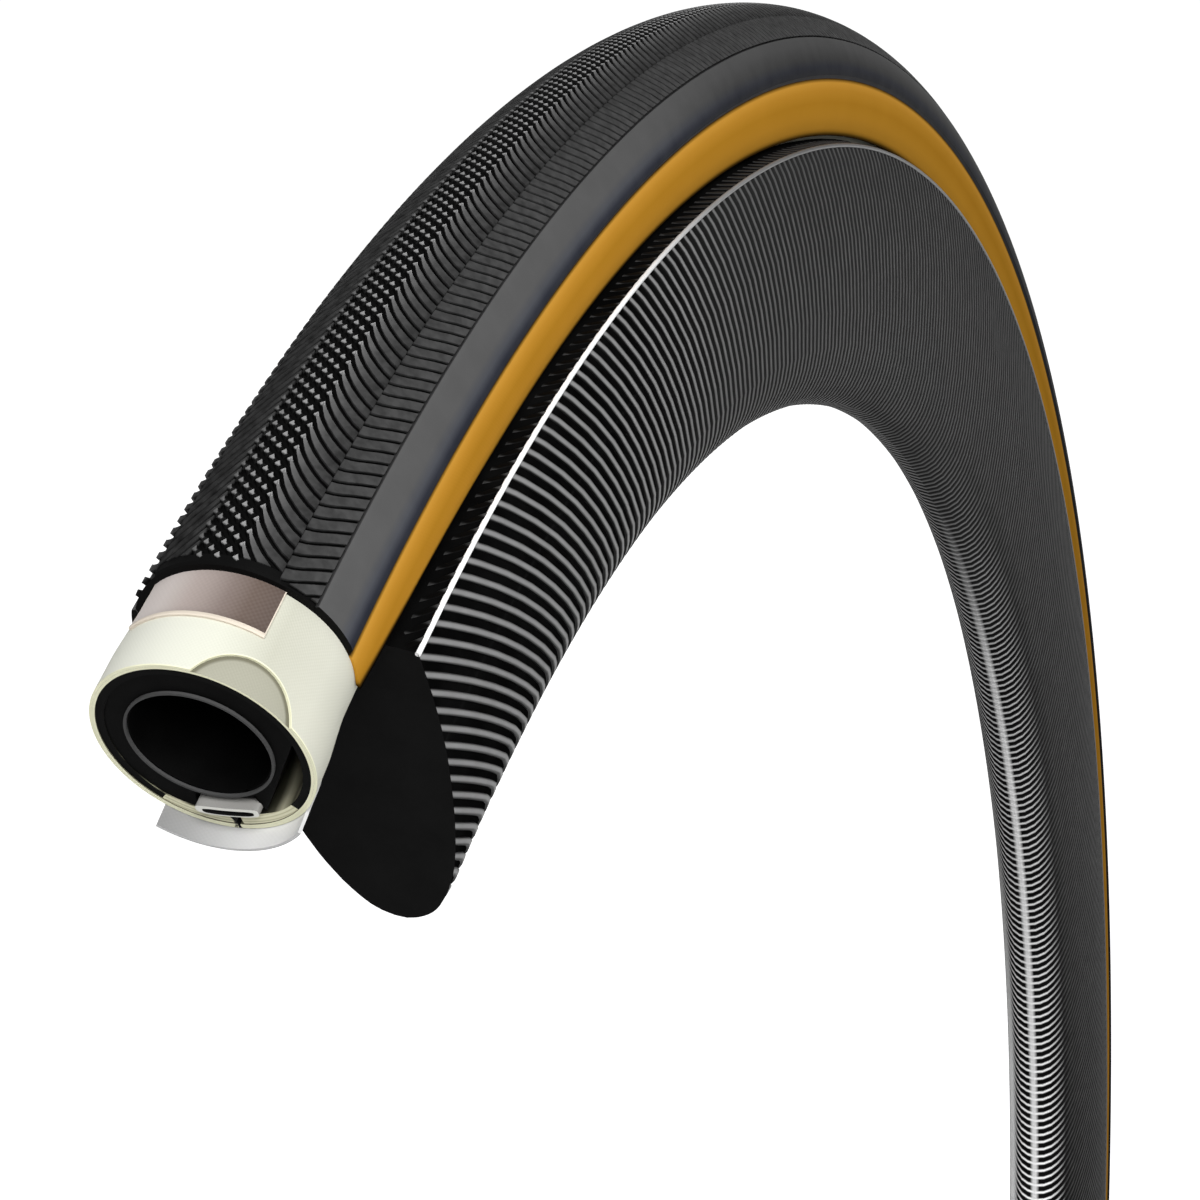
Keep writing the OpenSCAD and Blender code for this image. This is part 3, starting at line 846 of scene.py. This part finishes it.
def sidewalls(mat):
    """Thin amber band, slightly free of the casing at its lower edge, and narrower towards the cut."""
    phis = stations(116, 1.0, *angles(117, 125.5, 0.5), 125.8, TREAD_END - 0.04, TREAD_END)
    top = 325.9
    lower = np.interp(phis, [60, 75, 110, 118, 122, 124, 125, TREAD_END],
                      [317.0, 316.3, 316.3, 316.5, 317.4, 318.5, 319.2, 320.2])
    share = np.array([0, 0.08, 0.18, 0.3, 0.42, 0.55, 0.68, 0.8, 0.9, 0.96, 1.0])
    r = top + (lower[:, None] - top) * share
    skin = np.interp(r, [315.9, 316.9, 318.6, 320, 321.5, 323, 325, top],
                     [9.7, 10.05, 10.8, 11.2, 11.45, 11.58, 11.62, 11.4])
    under = np.interp(r, [315.9, 317.2, 318.6, 320, 321.5, 323, 324.3, top],
                      [9.35, 9.7, 10.25, 10.7, 11.05, 11.3, 11.34, 11.2])
    under = np.minimum(under + 0.25 * (share > 0.9), skin - 0.03)
    for side, label in SIDES:
        outer, inner = at(phis[:, None], r, side * skin), at(phis[:, None], r, side * under)
        settle(plate("sidewall_band_" + label, outer, inner), [mat], ["sidewall_" + label])


def belt(mat, edge):
    """The puncture belt under the tread, with a pale selvedge along its cut end and its side edges."""
    turn = np.concatenate([[-BELT_HALF, -37.7], angles(-36, 36, 2.0), [37.7, BELT_HALF]])
    selvedge = BELT_END - 0.09, BELT_END - 0.07, BELT_END - 0.02, BELT_END
    phis = stations(125, 2.0, 125.8, 126.3, 126.6, 126.85, *selvedge)
    rise = np.zeros((len(phis), len(turn)))
    rise[-3:] = 0.06
    rise[-1] = -0.05
    piece = casing_layer("belt_woven", phis, turn, -BELT_T - rise, 0.01, RIM_SLOTS)
    k = len(turn)
    paint_faces(piece, k, range(len(phis) - 4, len(phis) - 1))
    paint_faces(piece, k, range(len(phis) - 1), (0, k - 2))
    settle(piece, [mat, edge], ["puncture_belt"])


# ---- Casing ----


def window_angles():
    """Section angles all round the casing, closer together across the window."""
    half = math.sqrt(WINDOW_R**2 - WINDOW_BEYOND**2)
    swing = math.acos(WINDOW_BEYOND / WINDOW_R)
    across = WINDOW_R * np.sin(np.linspace(-swing, swing, 33))
    side = half / CASING_R * 180 / math.pi + 1.0
    notch = WINDOW_AT + across / CASING_R * 180 / math.pi
    return np.concatenate([angles(-LAYER_TURN, WINDOW_AT - side, 2.5), notch,
                           angles(WINDOW_AT + side, LAYER_TURN, 2.5)])


def outer_ply(mat, edge):
    """The outer ply, whose cut end has the round window's notch."""
    turn = window_angles()
    across = (turn - WINDOW_AT) / 180 * math.pi * WINDOW_SECTION_R
    depth = np.sqrt(np.maximum(WINDOW_R**2 - across**2, WINDOW_BEYOND**2)) - WINDOW_BEYOND
    end = CASING_END - depth / WINDOW_RING_R * 180 / math.pi
    phis = stations(COARSE_TO, 2.0, 126.3, 126.5, 126.7, 126.9, 127.1, 127.3, 127.4)
    grid = np.concatenate([np.repeat(phis[:, None], len(turn), 1), [end - 0.026, end - 0.012, end]])
    top, low = casing(grid, turn, 0.0), casing(grid, turn, PLY_T - 0.01)
    piece = plate("casing_ply_outer", at(grid, *top), at(grid, *low), kind_slots=RIM_SLOTS)
    paint_faces(piece, len(turn), range(len(grid) - 3, len(grid) - 1))
    settle(piece, [mat, edge], ["casing_outer_ply"])


def inner_layers(inner_mat, edge, lining_mat, lining_reflection_mat):
    """The inner ply and the rubber lining under it."""
    end = CASING_END - 0.02
    turn = angles(-LAYER_TURN, LAYER_TURN, 3.0)
    piece = casing_layer("casing_ply_inner", near_end(end, CASING_END), turn, PLY_T, PLIES - 0.01, RIM_SLOTS)
    settle(piece, [inner_mat, edge], ["casing_inner_ply"])
    turn = angles(-LINING_TURN, LINING_TURN, 3.0)
    # The lining's inner side and side edges take the painted reflections.
    piece = casing_layer("casing_lining_skin", near_end(end), turn, PLIES, PLIES + LINING_T, (0, 1, 0, 0, 1))
    settle(piece, [lining_mat, lining_reflection_mat], ["casing_lining"])


def hems(mat, hem_reflection_mat):
    """The folded-in edges beside the seam."""
    end = CASING_END - 0.02
    phis = near_end(end - 0.03, end)
    turn = np.concatenate([[136.9, 137.3], angles(139, 174, 2.5), [176.0, 177.2]])
    rounding = np.interp(turn, [136.9, 137.3, 175, 176, 177.2], [0.3, 0.04, 0, 0.1, 0.5])
    low = hem_depth(phis[:, None], turn) - rounding
    # The hems' inner side takes the painted reflections.
    for side, label in SIDES:
        piece = casing_layer("hem_fold_" + label, phis, turn, PLIES + 0.01, low, (0, 1, 0, 0, 0), side)
        settle(piece, [mat, hem_reflection_mat], ["hem_" + label])


def seam(mat):
    """The dark filler between the hems, narrow at its waist."""
    share = np.array([0.0, 0.18, 0.36, 0.5, 0.7, 1.0])
    half = np.array([0.5, 0.26, 0.1, 0.16, 0.4, 0.85])
    phi = near_end(CASING_END - 0.03, CASING_END)[:, None]
    r = casing(phi, 180.0, share * hem_depth(phi, 180.0) + 0.02)[0]
    piece = plate("seam_filler", at(phi, r, half - 0.2), at(phi, r, -half - 0.2))
    settle(piece, [mat], ["seam_thread"])


def lacing(mat):
    """Zigzag stitches over the seam, on the base side: one thread crossing the seam twice each pitch."""
    pitch, half_w, thick, width = 0.9, 2.2, 0.12, 0.035
    top = CASING_R + 0.03
    knots = np.arange(PLAIN_CUT + 0.6, CASING_END - 0.3, pitch / 2)
    left = np.where(np.arange(len(knots)) % 2 == 0, half_w, -half_w)
    ends = np.stack([knots, left], 1)[:, None]
    s = np.linspace(0, 1, 4)[None, :, None]
    path = ends[:-1] * (1 - s) + ends[1:] * s
    phi, h = path[..., 0], path[..., 1]

    def row(shift, rho):
        turn = math.pi - h / rho
        return at(phi + shift, CASING_C + rho * np.cos(turn), rho * np.sin(turn))

    outer, inner = (np.stack([row(-width, rho), row(width, rho)], 2) for rho in (top, top - thick))
    settle(array_of("seam_stitches", outer, inner), [mat])


def loop_wave(values, power):
    """A sine or cosine squared off by a power below 1."""
    return np.sign(values) * np.abs(values) ** power


def cover_tape(mat, edge, slit_shade_mat):
    """The tape folded over the seam inside: a flat white tube, with painted shade grey outside and black in
    its slit.
    """
    end = CASING_END + 0.15
    phi = near_end(end - 0.03, end)[:, None]
    loop = np.linspace(0, 2 * math.pi, 49)[:-1]
    c, s = np.cos(loop), np.sin(loop)
    outer_h = 3.5 * loop_wave(c, 0.35) + 0.05
    inner_h = 2.85 * loop_wave(c, 0.4) + 0.1
    lift = 0.3 * (1 - flare(phi))
    outer_r = 315.24 + lift + 0.62 * loop_wave(s, 0.55) + 0.02 * outer_h**2
    inner_r = 315.12 + lift + 0.36 * loop_wave(s, 0.6) + 0.02 * inner_h**2
    # Painted shade: the outer side takes a grey tone and the inside of the slit near black; the cut ends show
    # the tape's white.
    piece = plate("seam_tape_folded", at(phi, outer_r, outer_h), at(phi, inner_r, inner_h), True,
                  (0, 2, 1, 1, 0), 50)
    settle(piece, [mat, edge, slit_shade_mat], ["seam_cover_tape"])


def base_tape(mat, edge):
    """The base tape outside, which widens near the cut and runs on past the casing's end."""
    fine = angles(FINE_FROM, FINE_TO, 0.2)
    phis = stations(RIM_END, 1.5, 125.2, *fine, CASING_END, 128.4, BASE_TAPE_END - 0.03, BASE_TAPE_END)
    half = np.interp(phis, [125, 127.6], [31, 43])[:, None]
    middle = np.interp(phis, [125, 127.6], [180, 177])[:, None]
    turn = middle + np.linspace(-1, 1, 40) * half
    drop = np.interp(phis, [FINE_TO, BASE_TAPE_END], [0, 0.2])[:, None]
    (r, h), (low_r, low_h) = (casing(phis[:, None], turn, inset) for inset in (-0.36, -0.02))
    outer, inner = at(phis[:, None], r - drop, h), at(phis[:, None], low_r - drop, low_h)
    piece = plate("base_tape_strip", outer, inner, kind_slots=RIM_SLOTS)
    settle(piece, [mat, edge], ["base_tape"])


# ---- Inner tube ----


def tube_skin(phi, turn):
    """The tube's outer side: on the lining, except low on its left, and on the cover tape."""
    lined = np.abs(turn) < LINING_TURN
    r, left = casing(phi, turn, np.where(lined, PLIES + LINING_T - 0.02, hem_depth(phi, turn) + 0.04))
    up = r - CASING_C
    gap_at, gap_r = math.radians(120), 8.05
    pull = np.maximum(up * math.cos(gap_at) + left * math.sin(gap_at) - gap_r, 0)
    up, left = up - pull * math.cos(gap_at), left - pull * math.sin(gap_at)
    rest = 316.44 + 0.3 * (1 - flare(phi)) + 0.02 * left**2 - CASING_C
    low = (np.abs(left) < 3.75) & (up < 0)
    return CASING_C + np.where(low, np.maximum(up, rest), up), left


def tube(mat, bore_highlight_mat):
    """The rubber inner tube, with a grey ring round its cut bore as a painted highlight."""
    end = CASING_END - 0.04
    phi = near_end(end - 0.03, end)[:, None]
    turn = angles(-180, 180, 3.0)[:-1]
    bore = arc(TUBE_C, TUBE_BORE, turn, TUBE_LEFT)
    inner = at(phi, bore[:, 0], bore[:, 1])
    piece = plate("inner_tube_wall", at(phi, *tube_skin(phi, turn)), inner, closed=True, sharp=50)
    settle(piece, [mat], ["inner_tube"])
    # A grey ring just inside the bore at the cut, as a painted highlight on the tube's inner edge.
    phis = [CASING_END - 1.2, CASING_END - 0.1, CASING_END, CASING_END + 0.015]
    bore_highlight = (arc(TUBE_C - 0.1, radius, turn, TUBE_LEFT - 0.03) for radius in (BORE_HIGHLIGHT_OUTER, BORE_HIGHLIGHT_INNER))
    settle(sweep("tube_bore_highlight", phis, *bore_highlight, closed=True), [bore_highlight_mat])


# ---- Rim ----


def pairs_at(places, s, pairs):
    """Pairs of values at places between those known at s."""
    return np.stack([np.interp(places, s, pairs[:, i]) for i in (0, 1)], -1)


def lengths(points):
    """How far along a line each of its points lies."""
    return np.r_[0, np.cumsum(np.hypot(*np.diff(points, axis=0).T))]


def smooth_line(points, step):
    """A smooth line through section points, at even steps of its length."""
    p = np.asarray(points, float)
    t = lengths(p)
    q = pairs_at(np.linspace(0, t[-1], 800), t, p)
    for _ in range(60):
        q[1:-1] = (q[:-2] + 2 * q[1:-1] + q[2:]) / 4
    t = lengths(q)
    s = np.linspace(0, t[-1], int(t[-1] / step) + 1)
    return s, pairs_at(s, t, q)


def bed_line(count):
    """The concave bed that the tire is glued into, from the left corner to the right one."""
    bed = arc(CASING_C, BED_R, np.linspace(136, 224, count - 6))
    left = np.array([(315.0, 12.3), (315.15, 11.6), (bed[0, 0] + 0.1, 8.9)])
    return np.concatenate([left, bed, left[::-1] * (1, -1)])


def rim(mat, cut_mat):
    """The deep rim, shell and core in one, with a flat black cut."""
    _, half = smooth_line(RIM_HALF, 1.5)
    outline = np.concatenate([half, half[-2::-1] * (1, -1)])
    phis = stations(RIM_END - 1.5, 1.5, RIM_END - 0.3, RIM_END - 0.04, RIM_END)
    piece = sweep("rim_body", phis, outline, bed_line(len(outline)), kind_slots=END_SLOTS)
    settle(piece, [mat, cut_mat], ["rim_shell", "rim_core"])


def rib_lean(s, length):
    """How many degrees a rib has moved back round the ring, at a distance down the flank."""
    ease = 14.0
    over = np.maximum(s - (length - ease), 0)
    return -RIM_RIB_LEAN * (s - over**2 / (2 * ease))


def rib_line():
    """The line of a rib over the ledge and down the flank: places, section points and outward normals."""
    s, line = smooth_line(RIM_HALF, 0.25)
    s = np.concatenate([[-2.6, -1.6, -0.5], s])
    line = np.concatenate([[(315.45, 9.9), (315.3, 10.9), (315.12, 12.0)], line])
    slope = np.gradient(line, s, axis=0)
    slope /= np.linalg.norm(slope, axis=1)[:, None]
    return s, line, np.stack([slope[:, 1], -slope[:, 0]], 1)


def rim_ribs(mat):
    """Fine ribs that start on the ledge, pass the corner and lean back down each flank to the nose."""
    s, line, normal = rib_line()
    length = s[-1]
    end = RIM_END - 0.005
    fan = np.concatenate([[-2.4, -1.2, -0.2, 0.6], np.linspace(2.5, length - 14, 6),
                          np.linspace(length - 11, length, 6)])

    def half(t):
        return np.interp(t, [-2.6, -1.5, 1.0, 6, length], [0.05, 0.085, 0.095, 0.1, 0.12])

    along, low, high = cut_bars(RIM_RIB_FIRST, RIM_PITCH, lambda t: rib_lean(t, length), half, fan,
                                (PLAIN_CUT, end))
    p, n = pairs_at(along, s, line), pairs_at(along, s, normal)
    n[np.isclose(along, length)] = (-1, 0)
    rise = np.interp(along, [-2.6, -1.2, -0.2, 1.0, 3.0, length - 8, length],
                     [0.12, 0.08, 0.04, 0.08, RIM_RIB_H, RIM_RIB_H, 0.16])

    def height(phi):
        """A rib's height, which settles down towards both cuts."""
        return (rise * np.clip(np.minimum(RIM_END - phi, phi - PLAIN_CUT) / 0.5, 0.04, 1))[..., None]

    def edge(phi, lift, side):
        q = p + n * lift
        return at(np.clip(phi, PLAIN_CUT, end), q[..., 0], side * q[..., 1])

    for side, label in SIDES:
        outer = np.stack([edge(v, height(v), side) for v in (low, high)], 2)
        inner = np.stack([edge(v, -RIM_RIB_ROOT, side) for v in (low - 0.035, high + 0.035)], 2)
        settle(array_of("rim_ribs_" + label, outer, inner, sharp=30), [mat])


def rim_edge(mat, cement_mat):
    """A thin bead on each corner of the rim, which carries a painted highlight, and the cement in the bed."""
    loop = np.radians(angles(0, 360, 45)[:-1])
    circle = np.stack([np.cos(loop), np.sin(loop)], 1)
    for side, label in SIDES:
        outer, inner = (((BEAD_C + radius * circle) * (1, side)) for radius in (BEAD_R, 0.02))
        phis = stations(RIM_END - 1.5, 1.0, RIM_END)
        piece = sweep("rim_edge_" + label, phis, outer, inner, closed=True, sharp=60)
        settle(piece, [mat])
    end = RIM_END - 0.2
    film = (arc(CASING_C, radius, angles(137, 223, 3.0)) for radius in (BED_R, 11.69))
    piece = sweep("rim_cement_film", stations(end - 1.5, 2.0, end), *film)
    settle(piece, [cement_mat], ["rim_cement"])


# ---- Valve ----


def valve():
    """The valve's CAD shapes are right, and take better materials."""
    nickel = metal_shade("nickel_threaded", (196, 194, 188), 0.7)
    bright = metal_shade("nickel_bright", (206, 204, 198))
    brass = metal_shade("brass_turned", (190, 150, 84), 0.5)
    looks = {"valve_stem": nickel, "valve_core": brass, "valve_pin": brass, "valve_lock_nut": bright,
             "rim_nut": bright, "valve_cap": plastic_shade("cap_plastic", 24),
             "valve_seal": rubber_shade("seal_rubber", 30), "valve_patch": rubber_shade("patch_rubber", 26)}
    for node, mat in looks.items():
        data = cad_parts[node].data
        data.materials.clear()
        data.materials.append(mat)


# ---- Stage: lengths in metres ----

SOFT, BACK, KEY, SIDE, INNER = 0.35, 1.05, 13.0, 3.2, 40.0
EYE = (-0.422193, -0.120226, 0.308559)
VIEW = Vector((0.92999293, 0.33291623, -0.15582022)).normalized()
FLOOR_REACH, FLOOR_BELOW, FLOOR_GLOW = 12.0, 0.0005, 0.9


def camera():
    """The photo's camera, found by fitting the circles of the tire and the rim."""
    cam = bpy.data.cameras.new("camera")
    cam.lens = 79.10
    cam.sensor_width = 36.0
    cam.clip_start = 0.01
    obj = place_new("camera", cam)
    right = VIEW.cross(Vector((0, 0, 1))).normalized()
    turn = Matrix((right, right.cross(VIEW), -VIEW)).transposed().to_4x4()
    obj.matrix_world = Matrix.Translation(EYE) @ turn
    bpy.context.scene.camera = obj


def lamp(name, kind, place, target, power, **settings):
    """A light aimed at a target."""
    light = bpy.data.lights.new(name, kind)
    light.energy = power
    for key, value in settings.items():
        setattr(light, key, value)
    obj = place_new(name, light)
    obj.location = place
    obj.rotation_euler = (Vector(target) - Vector(place)).to_track_quat("-Z", "Y").to_euler()


def studio_world():
    """Soft grey light all round, brighter from behind the object. The backdrop itself is plain white."""
    world = bpy.data.worlds.new("studio")
    world.use_nodes = True
    g = Graph(world.node_tree)
    ray = g.node("TexCoord").outputs["Generated"]
    ahead = g.node("VectorMath", {0: ray, 1: VIEW}, operation="DOT_PRODUCT")
    light = g.span(ahead.outputs["Value"], 0.8, 0.93, (SOFT, BACK))
    background = next(n for n in g.tree.nodes if n.type == "BACKGROUND")
    seen = g.node("LightPath").outputs["Is Camera Ray"]
    g.feed(background.inputs["Strength"], g.math("MAXIMUM", light, seen))
    g.feed(background.inputs["Color"], (1, 1, 1, 1))
    bpy.context.scene.world = world


def floor_shade():
    """Pale paper that gives light behind the object, and looks white away from it on all sides."""
    s = Shade("floor_paper", rough=0.9, specular=0.1)
    m = s.math
    s.base(s.mottled((0.86, 0.86, 0.86, 1), (0.83, 0.83, 0.83, 1), 3))
    x, y, _ = s.xyz()
    behind = s.span(m("+", m("*", x, 0.94), m("*", y, 0.34)), 0.45, 0.9)
    away = m("*", s.span(s.hypot(x, y), 0.6, 1.12), s.node("LightPath").outputs["Is Camera Ray"])
    s.put("Emission Color", (1, 1, 1, 1))
    s.put("Emission Strength", m("*", m("MAXIMUM", behind, away), FLOOR_GLOW))
    return s.mat


def paper_floor():
    """A plain pale floor just under the object."""
    mesh = bpy.data.meshes.new("floor")
    low = cad_box[0][2] - FLOOR_BELOW
    corners = [(FLOOR_REACH * x, FLOOR_REACH * y, low) for x, y in ((-1, -1), (1, -1), (1, 1), (-1, 1))]
    mesh.from_pydata(corners, [], [(0, 1, 2, 3)])
    mesh.materials.append(floor_shade())
    place_new("floor", mesh)


def stage():
    """The studio: backdrop, floor and three lights."""
    bpy.context.scene.view_settings.view_transform = "Standard"
    studio_world()
    paper_floor()
    lamp("key", "AREA", (-0.95, -0.4, 0.75), (-0.1, 0, 0.2), KEY, shape="DISK", size=0.6)
    lamp("side", "AREA", (-0.6, -0.8, 0.5), (-0.15, 0, 0.25), SIDE, shape="DISK", size=0.5)
    lamp("inner", "SPOT", (-0.5, 0.5, 0.35), (0.25, 0, -0.17), INNER, spot_size=math.radians(26),
         spot_blend=1.0, shadow_soft_size=0.1)


def tread():
    """Everything outside the casing."""
    ribbed = tread_shade()
    black = rubber_shade("cut_rubber", 8, rough=0.7, specular=0.05)
    tread_floor(ribbed, black)
    tread_knobs(knob_shade())
    tread_ribs(ribbed)
    shoulders(shoulder_shade(), black)
    sidewalls(amber_shade())
    belt(belt_shade(), edge_shade("belt_edge", (206, 196, 182), (190, 180, 166)))


def carcass():
    """The casing, its seam and tapes, and the inner tube."""
    edge = edge_shade("cloth_edge", (222, 221, 194), (210, 209, 180))
    # Painted reflections for the lining's and the hems' inner faces.
    lining_reflections = lining_reflection_shade()
    outer_ply(cloth_shade(), edge)
    inner_layers(inner_cloth_shade(), edge, rubber_shade("lining_rubber", 7, specular=0.05), lining_reflections)
    hems(hem_shade(), lining_reflections)
    seam(rubber_shade("seam_dark", 12))
    lacing(tape_shade("lacing_thread", (206, 204, 188), (176, 172, 150)))
    # The cover tape's grey outer side and near black slit are painted shade.
    cover_tape(tape_shade("cover_tape", (140, 139, 136), (118, 117, 114)),
               edge_shade("cover_edge", (212, 212, 206), (200, 200, 194)), rubber_shade("tape_slit_shade", 20))
    over_width = [(-7, 112), (-5, 124), (-2, 152), (2, 190), (6, 214)]
    base_tape(tape_shade("base_tape", 205, 180, over_width), rubber_shade("tape_edge", 180))
    # The tube's grey ring round its bore is a painted highlight.
    tube(rubber_shade("tube_rubber", 5, specular=0.04), rubber_shade("bore_highlight_rubber", 62))


def wheel_rim():
    """The rim with its ribs, beads and cement."""
    rim(rim_shade(), rubber_shade("rim_cut", 12, rough=0.7, specular=0.04))
    rim_ribs(rib_shade())
    # The corner beads carry a painted highlight.
    rim_edge(corner_highlight_shade(), rubber_shade("cement", 26))


camera()
tread()
carcass()
wheel_rim()
valve()
stage()
